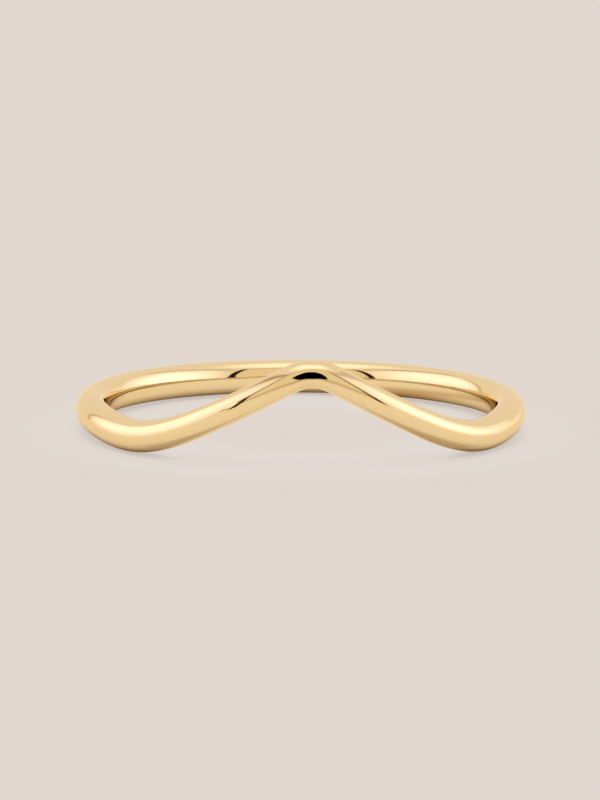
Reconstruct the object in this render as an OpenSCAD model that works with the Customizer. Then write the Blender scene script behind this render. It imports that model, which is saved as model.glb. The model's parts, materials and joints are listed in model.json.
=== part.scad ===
// V band ring: a plain polished gold band that rises to a point in front, lying on its side.
// Millimetres. The origin is on the surface under the middle of the finger hole, +Z runs up along
// the finger hole, and the point of the V is at -Y. The ring is the same left and right of X = 0.

/* [Finger hole] */
// Inside diameter where the band is closest to the finger, size 7 of the US ring sizes
inner_d = 17.3; // [15:0.1:21]

/* [Band] */
// Wall across the back and sides, from the finger outwards
band_wall = 1.39; // [1:0.01:2]
// Height of the band across the back and sides, along the finger
band_height = 1.51; // [1:0.01:1.9]
// Wall at the point of the V
point_wall = 1.26; // [0.9:0.01:1.8]
// Height of the band at the point of the V, square to the arms
point_height = 1.19; // [0.9:0.01:1.4]
// Angle from the point at which the band has half of its change in size behind it
taper_angle = 45; // [30:1:60]
// How square the outside of the section is: 2 is an oval, and more fills its corners
outer_fullness = 2.2; // [2:0.1:3]
// The same for the inside, which lies a little flatter on the finger
inner_fullness = 2.4; // [2:0.1:3]
// Share of the wall on the finger's side of the section's crest
inner_share = 0.45; // [0.4:0.01:0.6]
// How far the line that is closest to the finger lies below the middle of the section
inner_sag = 0.08; // [0:0.01:0.2]

/* [V] */
// Climb of the arms as seen from the front
arm_angle = 30.1; // [15:0.1:35]
// Where the straight line of an arm would meet the level of the sides, left or right of the point
arm_foot = 6.06; // [5:0.02:6.5]
// Rounding of the point of the V: a smaller value is a sharper point
point_round = 0.57; // [0.55:0.01:1.5]
// How soon that rounding gives way to the straight arms: 2.5 is gradual and 3.5 is sudden
point_form = 3; // [2.5:0.5:3.5]
// Rounding of the corner in which an arm runs out into the side
corner_round = 1.84; // [1.2:0.02:3]

/* [Resting line] */
// How far the two front corners reach down below the line of the sides
corner_droop = 0.32; // [0:0.02:0.5]
// Angle from the point of the V to a corner's lowest place
corner_angle = 53; // [45:1:60]
// Angle over which a corner's droop dies out
corner_spread = 17; // [12:1:25]
// How far the sides stand above the line from the corners to the back
side_lift = 0.14; // [0:0.02:0.3]

/* [Hidden] */
polished_gold = [0.91, 0.76, 0.48];

// Sections from the point of the V to the back, and sides of each section
sections_per_half = 72;
section_sides = 28;
// Share of an even step that the sections at the point are apart, so that the tight bend is smooth
point_crowding = 0.25;
// Angle on either side of a section over which the band's slope is taken
slope_reach = 0.25;

side_r = inner_d / 2 + band_wall / 2;

// Share of the V's own size in the band's section: 1 at the point, 0 across the back
function taper(a) = 1 / (1 + pow(abs(a) / taper_angle, 4));
function wall(a) = band_wall + (point_wall - band_wall) * taper(a);
function height(a) = band_height + (point_height - band_height) * taper(a);
function mid_r(a) = (inner_d + wall(a)) / 2;
function crest_r(a) = inner_d / 2 + wall(a) * inner_share;

// Distance left or right of the point as seen from the front, the sides' own once round to the back
function across(a) = side_r * sin(min(abs(a), 90));

// Height of the V's line: straight arms that are rounded at the point and where they run out
function arm_run(x) = arm_foot - pow(pow(x, point_form) + pow(point_round, point_form), 1 / point_form);
function arm_line(x) = tan(arm_angle) * (arm_run(x) + sqrt(pow(arm_run(x), 2) + pow(corner_round, 2))) / 2;

// Height of the middle of the band above its middle at the back
function droop(a) = corner_droop * exp(-pow((abs(a) - corner_angle) / corner_spread, 2));
function lift(a) = side_lift * pow(sin(max(abs(a), 90)), 2);
function middle(a) = arm_line(across(a)) - arm_line(side_r) - droop(a) + lift(a);

// Slope of the band's run at an angle, with which its section leans
function slope(a) =
    atan2(middle(a + slope_reach) - middle(a - slope_reach), mid_r(a) * 2 * slope_reach * PI / 180);

// Height of the band's underside, and the lift that sets the lowest place on the surface
function underside(a) = middle(a) - height(a) / 2 * cos(slope(a));
seat = -min([for (a = [0 : 180]) underside(a)]);

// Distance from a section's middle, from -1 to 1, along one of its two directions
function rounded(c, fullness) = sign(c) * pow(abs(c), 2 / fullness);

// A point of the band's surface: a is the angle round the finger, s the angle round the section
function band_point(a, s) =
    let (outside = cos(s) > 0)
    let (fullness = outside ? outer_fullness : inner_fullness)
    let (depth = wall(a) * (outside ? 1 - inner_share : inner_share))
    let (out = rounded(cos(s), fullness))
    let (sag = outside ? 0 : inner_sag * out * out)
    let (up = height(a) / 2 * rounded(sin(s), fullness) - sag)
    let (r = crest_r(a) + depth * out)
    let (turn = a - up * sin(slope(a)) / crest_r(a) * 180 / PI)
    [r * sin(turn), -r * cos(turn), seat + middle(a) + up * cos(slope(a))];

// Angle of section k, closer together near the point and the same on both sides of it
function section_angle(k) =
    let (share = k / sections_per_half)
    180 * (point_crowding * share + (1 - point_crowding) * share * abs(share));

module band() {
    count = 2 * sections_per_half;
    points = [
        for (k = [-sections_per_half : sections_per_half - 1], j = [0 : section_sides - 1])
            band_point(section_angle(k), j * 360 / section_sides)
    ];
    faces = [
        for (k = [0 : count - 1], j = [0 : section_sides - 1])
            let (k2 = (k + 1) % count, j2 = (j + 1) % section_sides)
            let (a = k * section_sides + j, b = k * section_sides + j2)
            let (c = k2 * section_sides + j2, d = k2 * section_sides + j)
            each [[a, b, c], [a, c, d]]
    ];
    color(polished_gold) polyhedron(points, faces, convexity = 4);
}

band();
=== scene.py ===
"""A plain V band ring of polished yellow gold, lying on its side on a pale surface."""

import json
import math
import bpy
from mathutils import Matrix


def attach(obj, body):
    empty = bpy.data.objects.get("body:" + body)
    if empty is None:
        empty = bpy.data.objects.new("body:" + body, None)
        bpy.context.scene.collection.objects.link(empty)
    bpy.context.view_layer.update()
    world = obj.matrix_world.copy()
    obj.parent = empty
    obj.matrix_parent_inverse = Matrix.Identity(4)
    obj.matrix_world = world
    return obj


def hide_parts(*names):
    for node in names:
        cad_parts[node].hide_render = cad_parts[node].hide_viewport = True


bl_info = {
    "name": "V Band Ring",
    "version": (1, 0, 0),
    "blender": (4, 5, 0),
    "location": "View3D > Sidebar > V Ring",
    "description": "Makes a polished gold V band ring, its pale floor and its soft studio light",
    "category": "Add Mesh",
}

import bmesh
import bpy
from bpy.props import FloatProperty, FloatVectorProperty, IntProperty, PointerProperty
from bpy.types import Operator, Panel, PropertyGroup
from mathutils import Matrix, Vector

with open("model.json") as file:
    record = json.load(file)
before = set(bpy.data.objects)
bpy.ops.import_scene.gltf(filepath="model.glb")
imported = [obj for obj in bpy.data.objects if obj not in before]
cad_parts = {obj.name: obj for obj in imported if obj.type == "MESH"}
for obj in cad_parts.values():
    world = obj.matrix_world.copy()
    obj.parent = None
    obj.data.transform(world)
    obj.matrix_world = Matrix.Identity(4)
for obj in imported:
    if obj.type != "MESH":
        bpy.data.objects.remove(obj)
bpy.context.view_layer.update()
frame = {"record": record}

MM = 0.001
FINGER_HOLE = frame["record"]["mounts"][0]["dims"]["r_mm"] * 2 * MM

# The floor that the camera sees lies just under the plate that only the gold sees
FLOOR_HEIGHT = -0.02 * MM
FLOOR_REACH = 3.0

# Degrees round the ring from straight in front at which the tent's front wall ends
FRONT_LEFT = -46
FRONT_RIGHT = 41

BLACK = (0.0, 0.0, 0.0)

# Place on the left arm from which the cards beside the ring are laid out
LEFT_ARM = Vector((-3.4, -9.3, 2.8)) * MM


# Sizes and colours


class BandSizes(PropertyGroup):
    """The band as its solid is made: the same sizes and the same formula, with finer steps."""

    inner_diameter: FloatProperty(
        name="Inside diameter", description="Finger hole where the band is closest to the finger",
        default=FINGER_HOLE, unit="LENGTH",
    )
    wall: FloatProperty(
        name="Wall", description="Wall across the back and sides",
        default=1.39 * MM, unit="LENGTH",
    )
    height: FloatProperty(
        name="Height", description="Height of the band across the back and sides",
        default=1.51 * MM, unit="LENGTH",
    )
    point_wall: FloatProperty(
        name="Wall at the point", description="Wall at the point of the V", default=1.26 * MM, unit="LENGTH"
    )
    point_height: FloatProperty(
        name="Height at the point", description="Height of the band at the point of the V",
        default=1.19 * MM, unit="LENGTH",
    )
    taper_angle: FloatProperty(
        name="Taper angle", description="Angle from the point with half of the band's change in size",
        default=math.radians(45), subtype="ANGLE",
    )
    outer_fullness: FloatProperty(
        name="Outer fullness", description="How square the outside of the section is: 2 is an oval",
        default=2.2,
    )
    inner_fullness: FloatProperty(
        name="Inner fullness", description="How square the inside of the section is: 2 is an oval",
        default=2.4,
    )
    inner_share: FloatProperty(
        name="Inner share", description="Share of the wall on the finger's side of the section's crest",
        default=0.45,
    )
    inner_sag: FloatProperty(
        name="Inner sag", description="How far the line closest to the finger lies below the middle",
        default=0.08 * MM, unit="LENGTH",
    )
    arm_angle: FloatProperty(
        name="Arm angle", description="Climb of the arms as seen from the front",
        default=math.radians(30.1), subtype="ANGLE",
    )
    arm_foot: FloatProperty(
        name="Arm foot", description="Where an arm's straight line would meet the level of the sides",
        default=6.06 * MM, unit="LENGTH",
    )
    point_round: FloatProperty(
        name="Point rounding", description="Rounding of the point of the V",
        default=0.57 * MM, unit="LENGTH",
    )
    point_form: FloatProperty(
        name="Point form", description="How soon the rounding gives way to the straight arms", default=3
    )
    corner_round: FloatProperty(
        name="Corner rounding", description="Rounding where an arm runs out into the side",
        default=1.84 * MM, unit="LENGTH",
    )
    corner_droop: FloatProperty(
        name="Corner droop", description="How far the corners reach below the line of the sides",
        default=0.32 * MM, unit="LENGTH",
    )
    corner_angle: FloatProperty(
        name="Corner angle", description="Angle from the point to a corner's lowest place",
        default=math.radians(53), subtype="ANGLE",
    )
    corner_spread: FloatProperty(
        name="Corner spread", description="Angle over which a corner's droop dies out",
        default=math.radians(17), subtype="ANGLE",
    )
    side_lift: FloatProperty(
        name="Side lift", description="How far the sides stand above the corners and the back",
        default=0.14 * MM, unit="LENGTH",
    )
    steps_around: IntProperty(name="Steps around", description="Sections round the finger", default=600)
    steps_across: IntProperty(name="Steps across", description="Sides of one section", default=80)
    point_crowding: FloatProperty(
        name="Point crowding", description="Share of an even step between the sections at the point",
        default=0.25,
    )


class GoldFinish(PropertyGroup):
    """The polish of the gold."""

    colour: FloatVectorProperty(
        name="Gold", description="Colour of the polished gold", subtype="COLOR", size=3,
        default=(0.96, 0.77, 0.46),
    )
    warm_colour: FloatVectorProperty(
        name="Warmer gold", description="Colour of the gold's slightly warmer patches", subtype="COLOR",
        size=3, default=(0.97, 0.76, 0.44),
    )
    edge_tint: FloatVectorProperty(
        name="Edge tint", description="Colour of the gold at a glancing angle", subtype="COLOR", size=3,
        default=(1.0, 0.93, 0.82),
    )
    roughness: FloatProperty(name="Roughness", description="Least blur of the polish", default=0.02)
    haze: FloatProperty(name="Haze", description="Blur that the handled patches add", default=0.03)
    patch_size: FloatProperty(
        name="Patch size", description="Size of the handled patches", default=1.6 * MM, unit="LENGTH"
    )
    line_width: FloatProperty(
        name="Line width", description="Distance between the polishing lines", default=0.05 * MM,
        unit="LENGTH",
    )
    line_depth: FloatProperty(
        name="Line depth", description="Depth of the polishing lines", default=0.00006 * MM, unit="LENGTH"
    )


class StudioLight(PropertyGroup):
    """The floor and the light tent round the ring."""

    floor_colour: FloatVectorProperty(
        name="Floor", description="Colour of the matt part of the floor", subtype="COLOR", size=3,
        default=(0.789, 0.766, 0.761),
    )
    floor_glow: FloatVectorProperty(
        name="Floor glow", description="Even light that the pale floor gives off", subtype="COLOR", size=3,
        default=(0.753, 0.679, 0.615),
    )
    floor_glow_share: FloatProperty(
        name="Glow share", description="Share of the floor's tone that is its even light", default=0.85
    )
    halo_glow: FloatVectorProperty(
        name="Halo", description="The floor's even light close round the ring, a little paler",
        subtype="COLOR", size=3, default=(0.766, 0.706, 0.655),
    )
    # Painted contact shadow: the darker tone the floor's own light takes where the ring touches it
    contact_painted_shadow: FloatVectorProperty(
        name="Contact", description="The floor's even light where the ring touches it", subtype="COLOR",
        size=3, default=(0.61, 0.555, 0.51),
    )
    contact_reach: FloatProperty(
        name="Contact reach", description="How far the contact shadow reaches", default=0.64 * MM,
        unit="LENGTH",
    )
    plate_colour: FloatVectorProperty(
        name="Plate", description="Colour of the plate under the ring as the gold shows it",
        subtype="COLOR", size=3, default=(0.915, 0.90, 0.825),
    )
    # Painted shade: the dark brown of the plate close under the band and under the arms, seen only in the
    # gold
    plate_painted_shade: FloatVectorProperty(
        name="Plate at the band", description="Colour of the plate close under the band", subtype="COLOR",
        size=3, default=(0.19, 0.085, 0.005),
    )
    # Painted shade: the warm brown of the plate inside the ring on the right, seen only in the gold
    plate_right_shade: FloatVectorProperty(
        name="Plate on the right", description="Colour of the plate inside the ring on the right",
        subtype="COLOR", size=3, default=(0.45, 0.27, 0.05),
    )
    plate_glow: FloatVectorProperty(
        name="Plate glow", description="Even light of the plate as the gold shows it", subtype="COLOR",
        size=3, default=(0.86, 0.79, 0.665),
    )
    plate_glow_share: FloatProperty(
        name="Plate glow share", description="Share of the plate's tone that is its even light", default=0.5
    )
    foot_reach: FloatProperty(
        name="Foot reach", description="How far the plate's shade at the band reaches", default=1.4 * MM,
        unit="LENGTH",
    )
    plate_full: FloatProperty(
        name="Plate full", description="Radius at which the plate starts to fade", default=11.5 * MM,
        unit="LENGTH",
    )
    plate_end: FloatProperty(
        name="Plate end", description="Radius of the plate, where it has the light of the far floor",
        default=16 * MM, unit="LENGTH",
    )
    backdrop: FloatVectorProperty(
        name="Backdrop", description="Plain tone behind the floor", subtype="COLOR", size=3,
        default=(0.753, 0.687, 0.617),
    )
    back_wall: FloatVectorProperty(
        name="Back wall", description="Light of the tent's back and sides", subtype="COLOR", size=3,
        default=(0.84, 0.785, 0.725),
    )
    front_wall: FloatVectorProperty(
        name="Front wall", description="Light of the wall round the opening", subtype="COLOR", size=3,
        default=(0.823, 0.71, 0.537),
    )
    left_panel: FloatVectorProperty(
        name="Left panel", description="Light of the panel on the left", subtype="COLOR", size=3,
        soft_max=2, default=(1.33, 1.27, 1.36),
    )
    right_panel: FloatVectorProperty(
        name="Right panel", description="Light of the panel on the right", subtype="COLOR", size=3,
        soft_max=2, default=(1.55, 1.48, 1.62),
    )
    roof: FloatVectorProperty(
        name="Roof", description="Light of the softbox overhead", subtype="COLOR", size=3, soft_max=2,
        default=(1.37, 1.215, 1.19),
    )
    low_light: FloatVectorProperty(
        name="Low light", description="Light low down behind the right panel", subtype="COLOR", size=3,
        soft_max=2, default=(1.09, 1.11, 1.10),
    )
    far_floor: FloatVectorProperty(
        name="Far floor", description="Light of the floor far from the ring", subtype="COLOR", size=3,
        default=(0.88, 0.795, 0.65),
    )
    near_floor: FloatVectorProperty(
        name="Near floor", description="Light of the floor close to the ring", subtype="COLOR", size=3,
        default=(0.785, 0.69, 0.55),
    )
    edge: FloatVectorProperty(
        name="Edge", description="Tone of the tent's edges", subtype="COLOR", size=3,
        default=(0.32, 0.17, 0.04),
    )
    seam: FloatVectorProperty(
        name="Seam", description="Tone of the seams in the tent's corners", subtype="COLOR", size=3,
        default=(0.015, 0.007, 0.0),
    )
    strip_distance: FloatProperty(
        name="Strip distance", description="Distance from the left arm to the dark strip that it sees",
        default=40 * MM, unit="LENGTH",
    )
    side_distance: FloatProperty(
        name="Side card distance", description="Distance from the left arm to the light card that it sees",
        default=12 * MM, unit="LENGTH",
    )
    side_glow: FloatVectorProperty(
        name="Side card", description="Light of the card that hides a part of the left seam from the arm",
        subtype="COLOR", size=3, soft_max=2, default=(1.25, 1.17, 1.2),
    )
    mutual_shade: FloatProperty(
        name="Mutual shade", description="How much darker the gold shows its own reflection in itself",
        default=0.5,
    )
    deep_glow: FloatVectorProperty(
        name="Deep glow", description="Light low in the tent as the gold's reflection in itself shows it",
        subtype="COLOR", size=3, soft_max=2, default=(1.0, 1.12, 1.3),
    )


class CameraPlace(PropertyGroup):
    """The camera, at the angle from which the ring is seen."""

    azimuth: FloatProperty(
        name="Azimuth", description="Turn round the ring from straight in front",
        default=math.radians(-3.03), subtype="ANGLE",
    )
    elevation: FloatProperty(
        name="Elevation", description="Angle above the floor", default=math.radians(10.44), subtype="ANGLE"
    )
    roll: FloatProperty(
        name="Roll", description="Tilt of the picture", default=math.radians(0.45), subtype="ANGLE"
    )
    distance: FloatProperty(
        name="Distance", description="From the ring's middle", default=0.2, unit="LENGTH"
    )
    lens: FloatProperty(name="Lens", description="Focal length", default=201.4, unit="CAMERA")
    aim: FloatVectorProperty(
        name="Aim", description="Point in the middle of the picture", subtype="TRANSLATION", size=3,
        default=(-0.036 * MM, 0, 1.303 * MM),
    )


# Shader maths


class Wire:
    """A shader socket that can be used in sums, so that shader maths reads as an expression."""

    def __init__(self, tree, socket):
        self.tree = tree
        self.socket = socket

    def _math(self, operation, *values):
        return self.tree.node("ShaderNodeMath", {"operation": operation}, dict(enumerate(values)))

    def __add__(self, other):
        return self._math("ADD", self, other)

    def __sub__(self, other):
        return self._math("SUBTRACT", self, other)

    def __rsub__(self, other):
        return self._math("SUBTRACT", other, self)

    def __mul__(self, other):
        return self._math("MULTIPLY", self, other)

    def __truediv__(self, other):
        return self._math("DIVIDE", self, other)

    def __rtruediv__(self, other):
        return self._math("DIVIDE", other, self)

    def __pow__(self, other):
        return self._math("POWER", self, other)

    def __rpow__(self, other):
        return self._math("POWER", other, self)

    def __neg__(self):
        return self._math("MULTIPLY", self, -1)

    __radd__ = __add__
    __rmul__ = __mul__

    def size(self):
        return self._math("ABSOLUTE", self)

    def high(self, other):
        return self._math("MAXIMUM", self, other)

    def rise(self, start, end):
        """0 at start and 1 at end, smooth between them. start may be above end."""
        return self.tree.node(
            "ShaderNodeMapRange", {"interpolation_type": "SMOOTHSTEP"},
            {"Value": self, "From Min": start, "From Max": end, "To Min": 0.0, "To Max": 1.0},
        )

    def scaled(self, low, high):
        """A share from 0 to 1 as a value from low to high."""
        return self * (high - low) + low

    def past(self, place, soft):
        """0 before a place and 1 past it, with a soft edge."""
        return self.rise(place - soft / 2, place + soft / 2)

    def before(self, place, soft):
        """1 before a place and 0 past it, with a soft edge."""
        return self.rise(place + soft / 2, place - soft / 2)

    def on_line(self, half, soft=0.7):
        """1 where the value is 0 and 0 away from there: a soft line of the given half width."""
        return (self.size() / half).rise(1 + soft, 1 - soft)


class Tree:
    """A node tree that is built by calls: each call makes a node and gives its first output."""

    def __init__(self, nodes_owner):
        nodes_owner.use_nodes = True
        self.tree = nodes_owner.node_tree
        self.tree.nodes.clear()

    def node(self, kind, settings=None, inputs=None, output=0):
        made = self.tree.nodes.new(kind)
        for name, value in (settings or {}).items():
            setattr(made, name, value)
        for key, value in (inputs or {}).items():
            socket = made.inputs[key]
            if isinstance(value, Wire):
                self.tree.links.new(value.socket, socket)
            elif isinstance(value, (tuple, list)) and len(value) == 3 and socket.type == "RGBA":
                socket.default_value = (*value, 1.0)
            else:
                socket.default_value = value
        return Wire(self, made.outputs[output])

    def noise(self, place, scale, detail):
        return self.node("ShaderNodeTexNoise", None, {"Vector": place, "Scale": scale, "Detail": detail})

    def parts(self, vector):
        made = self.node("ShaderNodeSeparateXYZ", inputs={0: vector})
        outputs = made.socket.node.outputs
        return [Wire(self, outputs[axis]) for axis in "XYZ"]

    def blend(self, share, first, second):
        """The first colour where share is 0 and the second where it is 1."""
        return self.node(
            "ShaderNodeMix", {"data_type": "RGBA"}, {0: share, 6: first, 7: second}, output=2
        )

    def glow(self, colour):
        """A shader that gives off a colour evenly."""
        return self.node("ShaderNodeEmission", None, {"Color": colour, "Strength": 1.0})

    def end(self, kind, shader):
        made = self.tree.nodes.new(kind)
        self.tree.links.new(shader.socket, made.inputs["Surface"])


# The band


def taper(sizes, angle):
    """Share of the V's own size in the band's section: 1 at the point, 0 across the back."""
    return 1 / (1 + (abs(angle) / sizes.taper_angle) ** 4)


def wall_at(sizes, angle):
    return sizes.wall + (sizes.point_wall - sizes.wall) * taper(sizes, angle)


def height_at(sizes, angle):
    return sizes.height + (sizes.point_height - sizes.height) * taper(sizes, angle)


def middle_radius(sizes, angle):
    return (sizes.inner_diameter + wall_at(sizes, angle)) / 2


def arm_line(sizes, across):
    """Height of the V's line at a distance left or right of the point, as seen from the front."""
    form = sizes.point_form
    run = sizes.arm_foot - (across**form + sizes.point_round**form) ** (1 / form)
    return math.tan(sizes.arm_angle) * (run + math.hypot(run, sizes.corner_round)) / 2


def middle_height(sizes, angle):
    """Height of the middle of the band above its middle at the back."""
    turn = abs(angle)
    side_radius = (sizes.inner_diameter + sizes.wall) / 2
    across = side_radius * math.sin(min(turn, math.pi / 2))
    droop = sizes.corner_droop * math.exp(-(((turn - sizes.corner_angle) / sizes.corner_spread) ** 2))
    lift = sizes.side_lift * math.sin(max(turn, math.pi / 2)) ** 2
    return arm_line(sizes, across) - arm_line(sizes, side_radius) - droop + lift


def slope_at(sizes, angle):
    """Slope of the band's run, with which its section leans."""
    reach = math.radians(0.25)
    climb = middle_height(sizes, angle + reach) - middle_height(sizes, angle - reach)
    return math.atan2(climb, middle_radius(sizes, angle) * 2 * reach)


def seat_height(sizes):
    """Lift that sets the lowest place of the band on the floor."""
    angles = [math.radians(a) for a in range(181)]
    return -min(
        middle_height(sizes, a) - height_at(sizes, a) / 2 * math.cos(slope_at(sizes, a)) for a in angles
    )


def rounded(share, fullness):
    return math.copysign(abs(share) ** (2 / fullness), share)


def section_points(sizes, angle, seat):
    """One section of the band: a ring of points round its rounded outline."""
    slope = slope_at(sizes, angle)
    centre = seat + middle_height(sizes, angle)
    inner_depth = wall_at(sizes, angle) * sizes.inner_share
    outer_depth = wall_at(sizes, angle) - inner_depth
    crest = sizes.inner_diameter / 2 + inner_depth
    points = []
    for side in range(sizes.steps_across):
        around = side * math.tau / sizes.steps_across
        outside = math.cos(around) > 0
        depth = outer_depth if outside else inner_depth
        fullness = sizes.outer_fullness if outside else sizes.inner_fullness
        out = rounded(math.cos(around), fullness)
        sag = 0 if outside else sizes.inner_sag * out * out
        up = height_at(sizes, angle) / 2 * rounded(math.sin(around), fullness) - sag
        radius = crest + depth * out
        turn = angle - up * math.sin(slope) / crest
        points.append(
            (radius * math.sin(turn), -radius * math.cos(turn), centre + up * math.cos(slope))
        )
    return points


def section_angle(sizes, step):
    """Angle of a section, closer together near the point and the same on both sides of it."""
    share = 2 * step / sizes.steps_around - 1
    return math.pi * (sizes.point_crowding * share + (1 - sizes.point_crowding) * share * abs(share))


def build_band(sizes):
    """The whole band as one closed mesh of four-sided faces."""
    seat = seat_height(sizes)
    mesh = bmesh.new()
    rings = [
        [mesh.verts.new(p) for p in section_points(sizes, section_angle(sizes, step), seat)]
        for step in range(sizes.steps_around)
    ]
    for step, ring in enumerate(rings):
        following = rings[(step + 1) % len(rings)]
        for side in range(len(ring)):
            beside = (side + 1) % len(ring)
            face = mesh.faces.new((ring[side], following[side], following[beside], ring[beside]))
            face.smooth = True
    bmesh.ops.recalc_face_normals(mesh, faces=mesh.faces)
    data = bpy.data.meshes.new("gold_band")
    mesh.to_mesh(data)
    mesh.free()
    return data


def gold_material(finish):
    """Polished yellow gold: a little haze in handled patches and faint polishing lines."""
    material = bpy.data.materials.new("polished_gold")
    tree = Tree(material)
    place = tree.node("ShaderNodeTexCoord", output="Object")
    x, y, z = tree.parts(place)
    specks_per_patch = 9
    patches = tree.noise(place, 1 / finish.patch_size, detail=3)
    specks = tree.noise(place, specks_per_patch / finish.patch_size, detail=2)
    # The polishing lines run round the finger: their noise is drawn out that way
    line_stretch = 25
    around = tree.node("ShaderNodeMath", {"operation": "ARCTAN2"}, {0: x, 1: y}) * (FINGER_HOLE / 2)
    radius = (x * x + y * y) ** 0.5
    run = tree.node("ShaderNodeCombineXYZ", None, {"X": around / line_stretch, "Y": radius, "Z": z})
    lines = tree.noise(run, 1 / finish.line_width, detail=2)
    bump = tree.node(
        "ShaderNodeBump", None, {"Strength": 1.0, "Distance": finish.line_depth, "Height": lines}
    )
    colour = tree.blend(patches.rise(0.35, 0.7), tuple(finish.colour), tuple(finish.warm_colour))
    haze = (patches * 0.7 + specks * 0.3).rise(0.3, 0.75) * finish.haze
    shader = tree.node(
        "ShaderNodeBsdfPrincipled", None,
        {
            "Base Color": colour, "Metallic": 1.0, "Roughness": haze + finish.roughness,
            "Specular Tint": tuple(finish.edge_tint), "Normal": bump,
        },
    )
    tree.end("ShaderNodeOutputMaterial", shader)
    return material


# The stage


def stage_object(name, data, material):
    """A new object on the stage, which isn't a part of the ring."""
    data.materials.append(material)
    placed = bpy.data.objects.new(name, data)
    bpy.context.scene.collection.objects.link(placed)
    return placed


def flat_disc(name, reach, height, material):
    """A level disc on the stage, as one face of many sides."""
    disc = bmesh.new()
    bmesh.ops.create_circle(
        disc, cap_ends=True, segments=128, radius=reach, matrix=Matrix.Translation((0, 0, height))
    )
    data = bpy.data.meshes.new(name)
    disc.to_mesh(data)
    disc.free()
    return stage_object(name, data, material)


def arm_card(name, material, distance, edges):
    """A card that the left arm sees: its left and right edge, in degrees, at each climb."""
    points = []
    for climb, *turns in edges:
        for turn in turns:
            side, front = math.sin(math.radians(turn)), -math.cos(math.radians(turn))
            points.append(LEFT_ARM + Vector((side, front, math.tan(math.radians(climb)))) * distance)
    data = bpy.data.meshes.new(name)
    data.from_pydata(points, [], [(k, k + 1, k + 3, k + 2) for k in range(0, len(points) - 2, 2)])
    return stage_object(name, data, material)


def glow_material(name, colour):
    """An even light of one colour."""
    material = bpy.data.materials.new(name)
    tree = Tree(material)
    tree.end("ShaderNodeOutputMaterial", tree.glow(tuple(colour)))
    return material


def openness(tree, reach, samples):
    """1 where nothing is near and less towards a surface that is closer than a reach."""
    return tree.node("ShaderNodeAmbientOcclusion", {"samples": samples}, {"Distance": reach}, output="AO")


def floor_material(light):
    """A pale matt floor with an even light of its own, which keeps the real shadow faint, and a painted
    contact shadow.
    """
    material = bpy.data.materials.new("floor")
    tree = Tree(material)
    x, y, z = tree.parts(tree.node("ShaderNodeTexCoord", output="Object"))
    from_band = ((x * x + y * y) ** 0.5 - FINGER_HOLE / 2).size()
    # Painted light: the floor's own light is a little paler close round the band
    glow = tree.blend(from_band.rise(5 * MM, 1.5 * MM), tuple(light.floor_glow), tuple(light.halo_glow))
    # Painted shadow: where ambient occlusion finds the band close, the floor's light darkens to the contact
    # tone
    contact = openness(tree, light.contact_reach, samples=16).rise(0.85, -0.2)
    glow = tree.blend(contact, glow, tuple(light.contact_painted_shadow))
    matt = tree.node("ShaderNodeBsdfDiffuse", None, {"Color": tuple(light.floor_colour)})
    shader = tree.node(
        "ShaderNodeMixShader", None, {0: light.floor_glow_share, 1: matt, 2: tree.glow(glow)}
    )
    tree.end("ShaderNodeOutputMaterial", shader)
    return material


def plate_shade(tree, light, y, radius):
    """Share of the plate's painted dark brown shade: soft where the band is close, and a part under the
    arms.
    """
    inside = radius.rise(9.2 * MM, 8.6 * MM)
    at_foot = (openness(tree, light.foot_reach, samples=8) - inside * 0.12).rise(0.73, -0.08)
    arm_radius = FINGER_HOLE / 2 + 0.93 * MM
    under_arms = (radius - arm_radius).size().rise(1.05 * MM, 0.2 * MM)
    under_arms = under_arms * y.rise(-9.6 * MM, -8.0 * MM) * y.rise(-5.6 * MM, -7.2 * MM)
    return at_foot.high(under_arms * 0.42)


def right_shade_share(x, radius):
    """Share of the painted warm brown shade that the plate has inside the ring on the right."""
    across = x.rise(0, 5 * MM) * x.rise(7.2 * MM, 5.0 * MM)
    return across * radius.rise(9.5 * MM, 8.8 * MM) * radius.rise(5.5 * MM, 8.3 * MM) * 0.55


def plate_material(light):
    """The floor near the ring as the gold shows it, with painted shade at the band and on the inside right.
    """
    material = bpy.data.materials.new("plate")
    tree = Tree(material)
    x, y, z = tree.parts(tree.node("ShaderNodeTexCoord", output="Object"))
    radius = (x * x + y * y) ** 0.5
    shade = plate_shade(tree, light, y, radius)
    right_shade = right_shade_share(x, radius)
    tones = []
    for plain in (light.plate_colour, light.plate_glow):
        tone = tree.blend(right_shade, tuple(plain), tuple(light.plate_right_shade))
        tones.append(tree.blend(shade, tone, tuple(light.plate_painted_shade)))
    matt = tree.node("ShaderNodeBsdfDiffuse", None, {"Color": tones[0]})
    even = tree.glow(tones[1])
    near = tree.node("ShaderNodeMixShader", None, {0: light.plate_glow_share, 1: matt, 2: even})
    far = tree.glow(tuple(light.far_floor))
    faded = radius.rise(light.plate_full, light.plate_end)
    shader = tree.node("ShaderNodeMixShader", None, {0: faded, 1: near, 2: far})
    tree.end("ShaderNodeOutputMaterial", shader)
    return material


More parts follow.
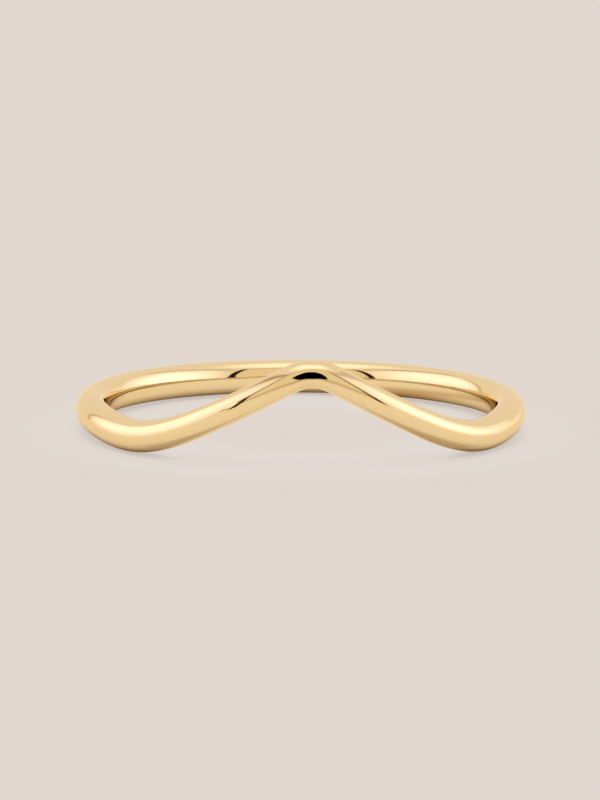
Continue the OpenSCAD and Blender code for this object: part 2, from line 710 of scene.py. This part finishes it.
class Sky:
    """The direction that light comes from, in the numbers with which the tent is drawn."""

    def __init__(self, tree):
        x, y, z = tree.parts(tree.node("ShaderNodeTexCoord"))
        degrees = 180 / math.pi
        # Degrees round the ring: 0 is the front, the right side is positive
        self.turn = tree.node("ShaderNodeMath", {"operation": "ARCTAN2"}, {0: x, 1: -y}) * degrees
        # Degrees above the level of the floor
        self.climb = tree.node("ShaderNodeMath", {"operation": "ARCSINE"}, {0: z}) * degrees
        # Place on a side wall that stands one step to the side: steps forward and steps up
        self.forward = -y / x.size().high(0.001)
        self.upward = z / x.size().high(0.001)
        # Place on a roof that lies one step above: steps to the right and steps forward
        self.roof_right = x / z.high(0.001)
        self.roof_forward = -y / z.high(0.001)
        self.is_left = x.rise(0.001, -0.001)
        self.is_front = self.turn.past(FRONT_LEFT, soft=6) * self.turn.before(FRONT_RIGHT, soft=6)
        # Slope to a line one step away along the front wall or along the side walls
        level = (x * x + y * y) ** 0.5
        self.to_front = (-y / level).high(0)
        self.to_side = x.size() / level
        # Degrees above the line on which the front wall stands, which is lowest in its middle
        foot_middle, foot_depth = 3, 31.8
        foot_half, foot_rise = 38, 31.2
        rise = ((self.turn - foot_middle).size() / foot_half) ** 0.5 * foot_rise
        self.above_foot = self.climb - rise + foot_depth


def panel(sky, start, back, back_soft, fall, full, low, low_soft, top, top_soft):
    """Share of a side panel, in steps forward and up for a wall that stands one step away.

    It is dim from its start, bright from its back, fades from full to the fall in front, and ends
    softly below and above.
    """
    dim_share, start_soft = 0.3, 0.22
    dim = sky.forward.past(start, start_soft) * dim_share
    bright = sky.forward.past(back, back_soft) * (1 - dim_share)
    along = (dim + bright) * sky.forward.rise(fall, full)
    return along * sky.upward.past(low, low_soft) * sky.upward.before(top, top_soft)


def tent_roof(sky):
    """Share of the softbox in the roof, soft all round, whose back edge leans."""
    across = sky.roof_right.past(-0.48, soft=0.41) * sky.roof_right.before(0.47, soft=0.52)
    from_back = sky.roof_forward - sky.roof_right * 0.34
    along = sky.roof_forward.before(0.63, soft=0.86) * from_back.past(-0.20, soft=0.47)
    return across * along * sky.climb.past(2, soft=2)


def tent_edge(tree, sky, slope, height, half):
    """The line in which a wall meets the roof, at a height for a wall one step away."""
    level = tree.node("ShaderNodeMath", {"operation": "ARCTANGENT"}, {0: slope * height}) * (180 / math.pi)
    return (sky.climb - level).on_line(half)


def tent_edges(tree, sky):
    """Share of the tent's brown edges: where its walls meet the roof and where the front wall stands."""
    turn, climb = sky.turn, sky.climb
    left_side = turn.past(-142, soft=10) * turn.before(FRONT_LEFT - 2, soft=6)
    right_side = turn.past(FRONT_RIGHT + 2, soft=6) * turn.before(135, soft=20)
    left_edge = tent_edge(tree, sky, sky.to_side, height=1.33, half=1.8) * left_side
    right_edge = tent_edge(tree, sky, sky.to_side, height=1.16, half=3.0) * right_side
    front_edge = tent_edge(tree, sky, sky.to_front, height=1.25, half=2.4) * sky.is_front
    back_corner = (turn + 138).on_line(2) * climb.past(-2, soft=6) * climb.before(32, soft=10)
    front_foot = sky.above_foot.on_line(4) * sky.is_front
    edges = (left_edge * 0.7).high(right_edge * 0.38).high(front_edge * 0.55)
    return edges.high(back_corner * 0.4).high(front_foot * 0.4)


def corner_seam(sky, turn, lean, half):
    """A seam that meets the level of the floor at a turn and leans as it climbs."""
    return ((sky.turn - turn - sky.climb * lean) / half).on_line(1, soft=0.35)


def tent_corners(sky):
    """Share of the dark seams in the tent's two front corners; the right one is wider at the floor."""
    climb = sky.climb
    left = corner_seam(sky, turn=-47.3, lean=0.095, half=2.1) * climb.rise(-2, 2)
    right_half = climb.rise(2, 8).scaled(3.2, 2.2)
    right = corner_seam(sky, turn=39.9, lean=-0.055, half=right_half) * climb.rise(-9, -5)
    return left.high(right) * climb.before(44, soft=14)


def tent_opening(sky):
    """Share of the opening in the front wall: wide above, narrow at the floor, round at its top."""
    turn, climb = sky.turn, sky.climb
    left = climb * -0.55 - 10.7
    right = climb * 0.054 - climb * climb * 0.012 + 12.1
    top = 28.1 - turn * turn * 0.058
    across = (turn - left).past(0, soft=1.4) * (turn - right).before(0, soft=1.4)
    return across * (climb - top).before(0, soft=2.8)


def tent_light(tree, sky, light):
    """The tent's light by direction: each part is laid over the ones before it."""
    ground = tree.blend(
        sky.climb.past(-30, soft=44), tuple(light.near_floor), tuple(light.far_floor)
    )
    left_panel = panel(
        sky, start=-0.98, back=-0.80, back_soft=0.45, fall=1.27, full=-0.04,
        low=0.04, low_soft=0.51, top=1.03, top_soft=0.63,
    )
    right_panel = panel(
        sky, start=-0.84, back=-0.41, back_soft=0.68, fall=1.25, full=0.07,
        low=0.02, low_soft=0.40, top=0.84, top_soft=1.03,
    )
    low_light = (sky.climb - 1).on_line(7) * sky.turn.past(111, soft=12) * sky.turn.before(147, soft=20)
    layers = (
        (sky.climb.past(5, soft=26), light.back_wall),
        (left_panel * sky.is_left, light.left_panel),
        (right_panel * (1 - sky.is_left), light.right_panel),
        (sky.is_front * sky.above_foot.past(0, soft=5), light.front_wall),
        (low_light * 0.48, light.low_light),
        (tent_roof(sky), light.roof),
        (tent_edges(tree, sky), light.edge),
        (tent_corners(sky), light.seam),
        (tent_opening(sky), BLACK),
    )
    colour = ground
    for share, tone in layers:
        colour = tree.blend(share, colour, tuple(tone))
    return colour


def light_tent(light):
    """A world that is the inside of a light tent, seen by the gold and by the floor."""
    world = bpy.data.worlds.new("light_tent")
    tree = Tree(world)
    sky = Sky(tree)
    colour = tent_light(tree, sky, light)
    # What the gold's reflection in itself shows is darker, but for a glow low in the tent
    in_itself = tree.node("ShaderNodeLightPath", output="Glossy Depth").rise(1, 2)
    colour = tree.blend(in_itself * light.mutual_shade, colour, BLACK)
    low_glow = (sky.climb - 11).on_line(8, soft=0.4) * 0.85
    colour = tree.blend(in_itself * low_glow, colour, tuple(light.deep_glow))
    seen = tree.node("ShaderNodeLightPath", output="Is Camera Ray")
    colour = tree.blend(seen, colour, tuple(light.backdrop))
    shader = tree.node("ShaderNodeBackground", None, {"Color": colour, "Strength": 1.0})
    tree.end("ShaderNodeOutputWorld", shader)
    return world


def seam_strip(light):
    """The foot of the left seam, which the arm sees further in front than the back of the band does."""
    foot_turn, lean = -38.7, 0.255
    foot_half, narrowing = 2.9, 0.105
    edges = []
    for climb in range(-9, 22, 3):
        above = max(climb, 0)
        middle = foot_turn - above * lean
        half = foot_half - above * narrowing
        edges.append((climb, middle - half, middle + half))
    return arm_card("seam_strip", glow_material("seam_strip", light.seam), light.strip_distance, edges)


def side_strip(light):
    """A light card that hides the back's own part of the left seam from the arm."""
    edges = ((2, -51, -44), (8, -51, -44), (13, -51, -45.5))
    return arm_card("side_strip", glow_material("side_strip", light.side_glow), light.side_distance, edges)


def place_camera(place):
    """A camera on the side from which the ring is seen, aimed at a point just above the floor."""
    turn = place.azimuth
    climb = place.elevation
    back = Vector(
        (math.sin(turn) * math.cos(climb), -math.cos(turn) * math.cos(climb), math.sin(climb))
    )
    camera = bpy.data.objects.new("camera", bpy.data.cameras.new("camera"))
    camera.data.lens = place.lens
    camera.data.sensor_width = 36
    camera.data.clip_start = 0.01
    camera.data.clip_end = 20
    where = back * place.distance
    facing = (where - Vector(place.aim)).to_track_quat("Z", "Y").to_matrix().to_4x4()
    camera.matrix_world = Matrix.Translation(where) @ facing @ Matrix.Rotation(place.roll, 4, "Z")
    bpy.context.scene.collection.objects.link(camera)
    bpy.context.scene.camera = camera


# Operators


class RING_OT_make_band(Operator):
    """Makes the gold band, in place of its plain solid"""

    bl_idname = "v_ring.make_band"
    bl_label = "Make the band"

    def execute(self, context):
        sizes = context.scene.v_ring_sizes
        data = build_band(sizes)
        if len(data.polygons) != sizes.steps_around * sizes.steps_across:
            raise RuntimeError("the band's mesh isn't whole")
        data.materials.append(gold_material(context.scene.v_ring_gold))
        band = bpy.data.objects.new("gold_band", data)
        context.scene.collection.objects.link(band)
        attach(band, "root")
        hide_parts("band")
        return {"FINISHED"}


class RING_OT_make_stage(Operator):
    """Makes the floor, the light tent and the camera"""

    bl_idname = "v_ring.make_stage"
    bl_label = "Make the stage"

    def execute(self, context):
        light = context.scene.v_ring_light
        floor = flat_disc("floor", FLOOR_REACH, FLOOR_HEIGHT, floor_material(light))
        floor.visible_glossy = False
        plate = flat_disc("plate", light.plate_end, 0.0, plate_material(light))
        for unseen in (plate, seam_strip(light), side_strip(light)):
            unseen.visible_camera = False
            unseen.visible_diffuse = False
            unseen.visible_shadow = False
        context.scene.world = light_tent(light)
        context.scene.view_settings.view_transform = "Standard"
        place_camera(context.scene.v_ring_camera)
        return {"FINISHED"}


class RING_PT_panel(Panel):
    """Lists the ring's operators and sizes"""

    bl_label = "V Ring"
    bl_space_type = "VIEW_3D"
    bl_region_type = "UI"
    bl_category = "V Ring"

    def draw(self, context):
        for operator in OPERATORS:
            self.layout.operator(operator.bl_idname)
        for name in GROUPS:
            box = self.layout.box()
            group = getattr(context.scene, name)
            for size in group.bl_rna.properties.keys():
                if size not in ("rna_type", "name"):
                    box.prop(group, size)


GROUPS = {
    "v_ring_sizes": BandSizes,
    "v_ring_gold": GoldFinish,
    "v_ring_light": StudioLight,
    "v_ring_camera": CameraPlace,
}
OPERATORS = (RING_OT_make_band, RING_OT_make_stage)
CLASSES = (*GROUPS.values(), *OPERATORS, RING_PT_panel)


def register():
    for made in CLASSES:
        bpy.utils.register_class(made)
    for name, group in GROUPS.items():
        setattr(bpy.types.Scene, name, PointerProperty(type=group))


def unregister():
    for name in GROUPS:
        delattr(bpy.types.Scene, name)
    for made in reversed(CLASSES):
        bpy.utils.unregister_class(made)


def main():
    register()
    bpy.ops.v_ring.make_band()
    bpy.ops.v_ring.make_stage()


if __name__ == "__main__":
    main()
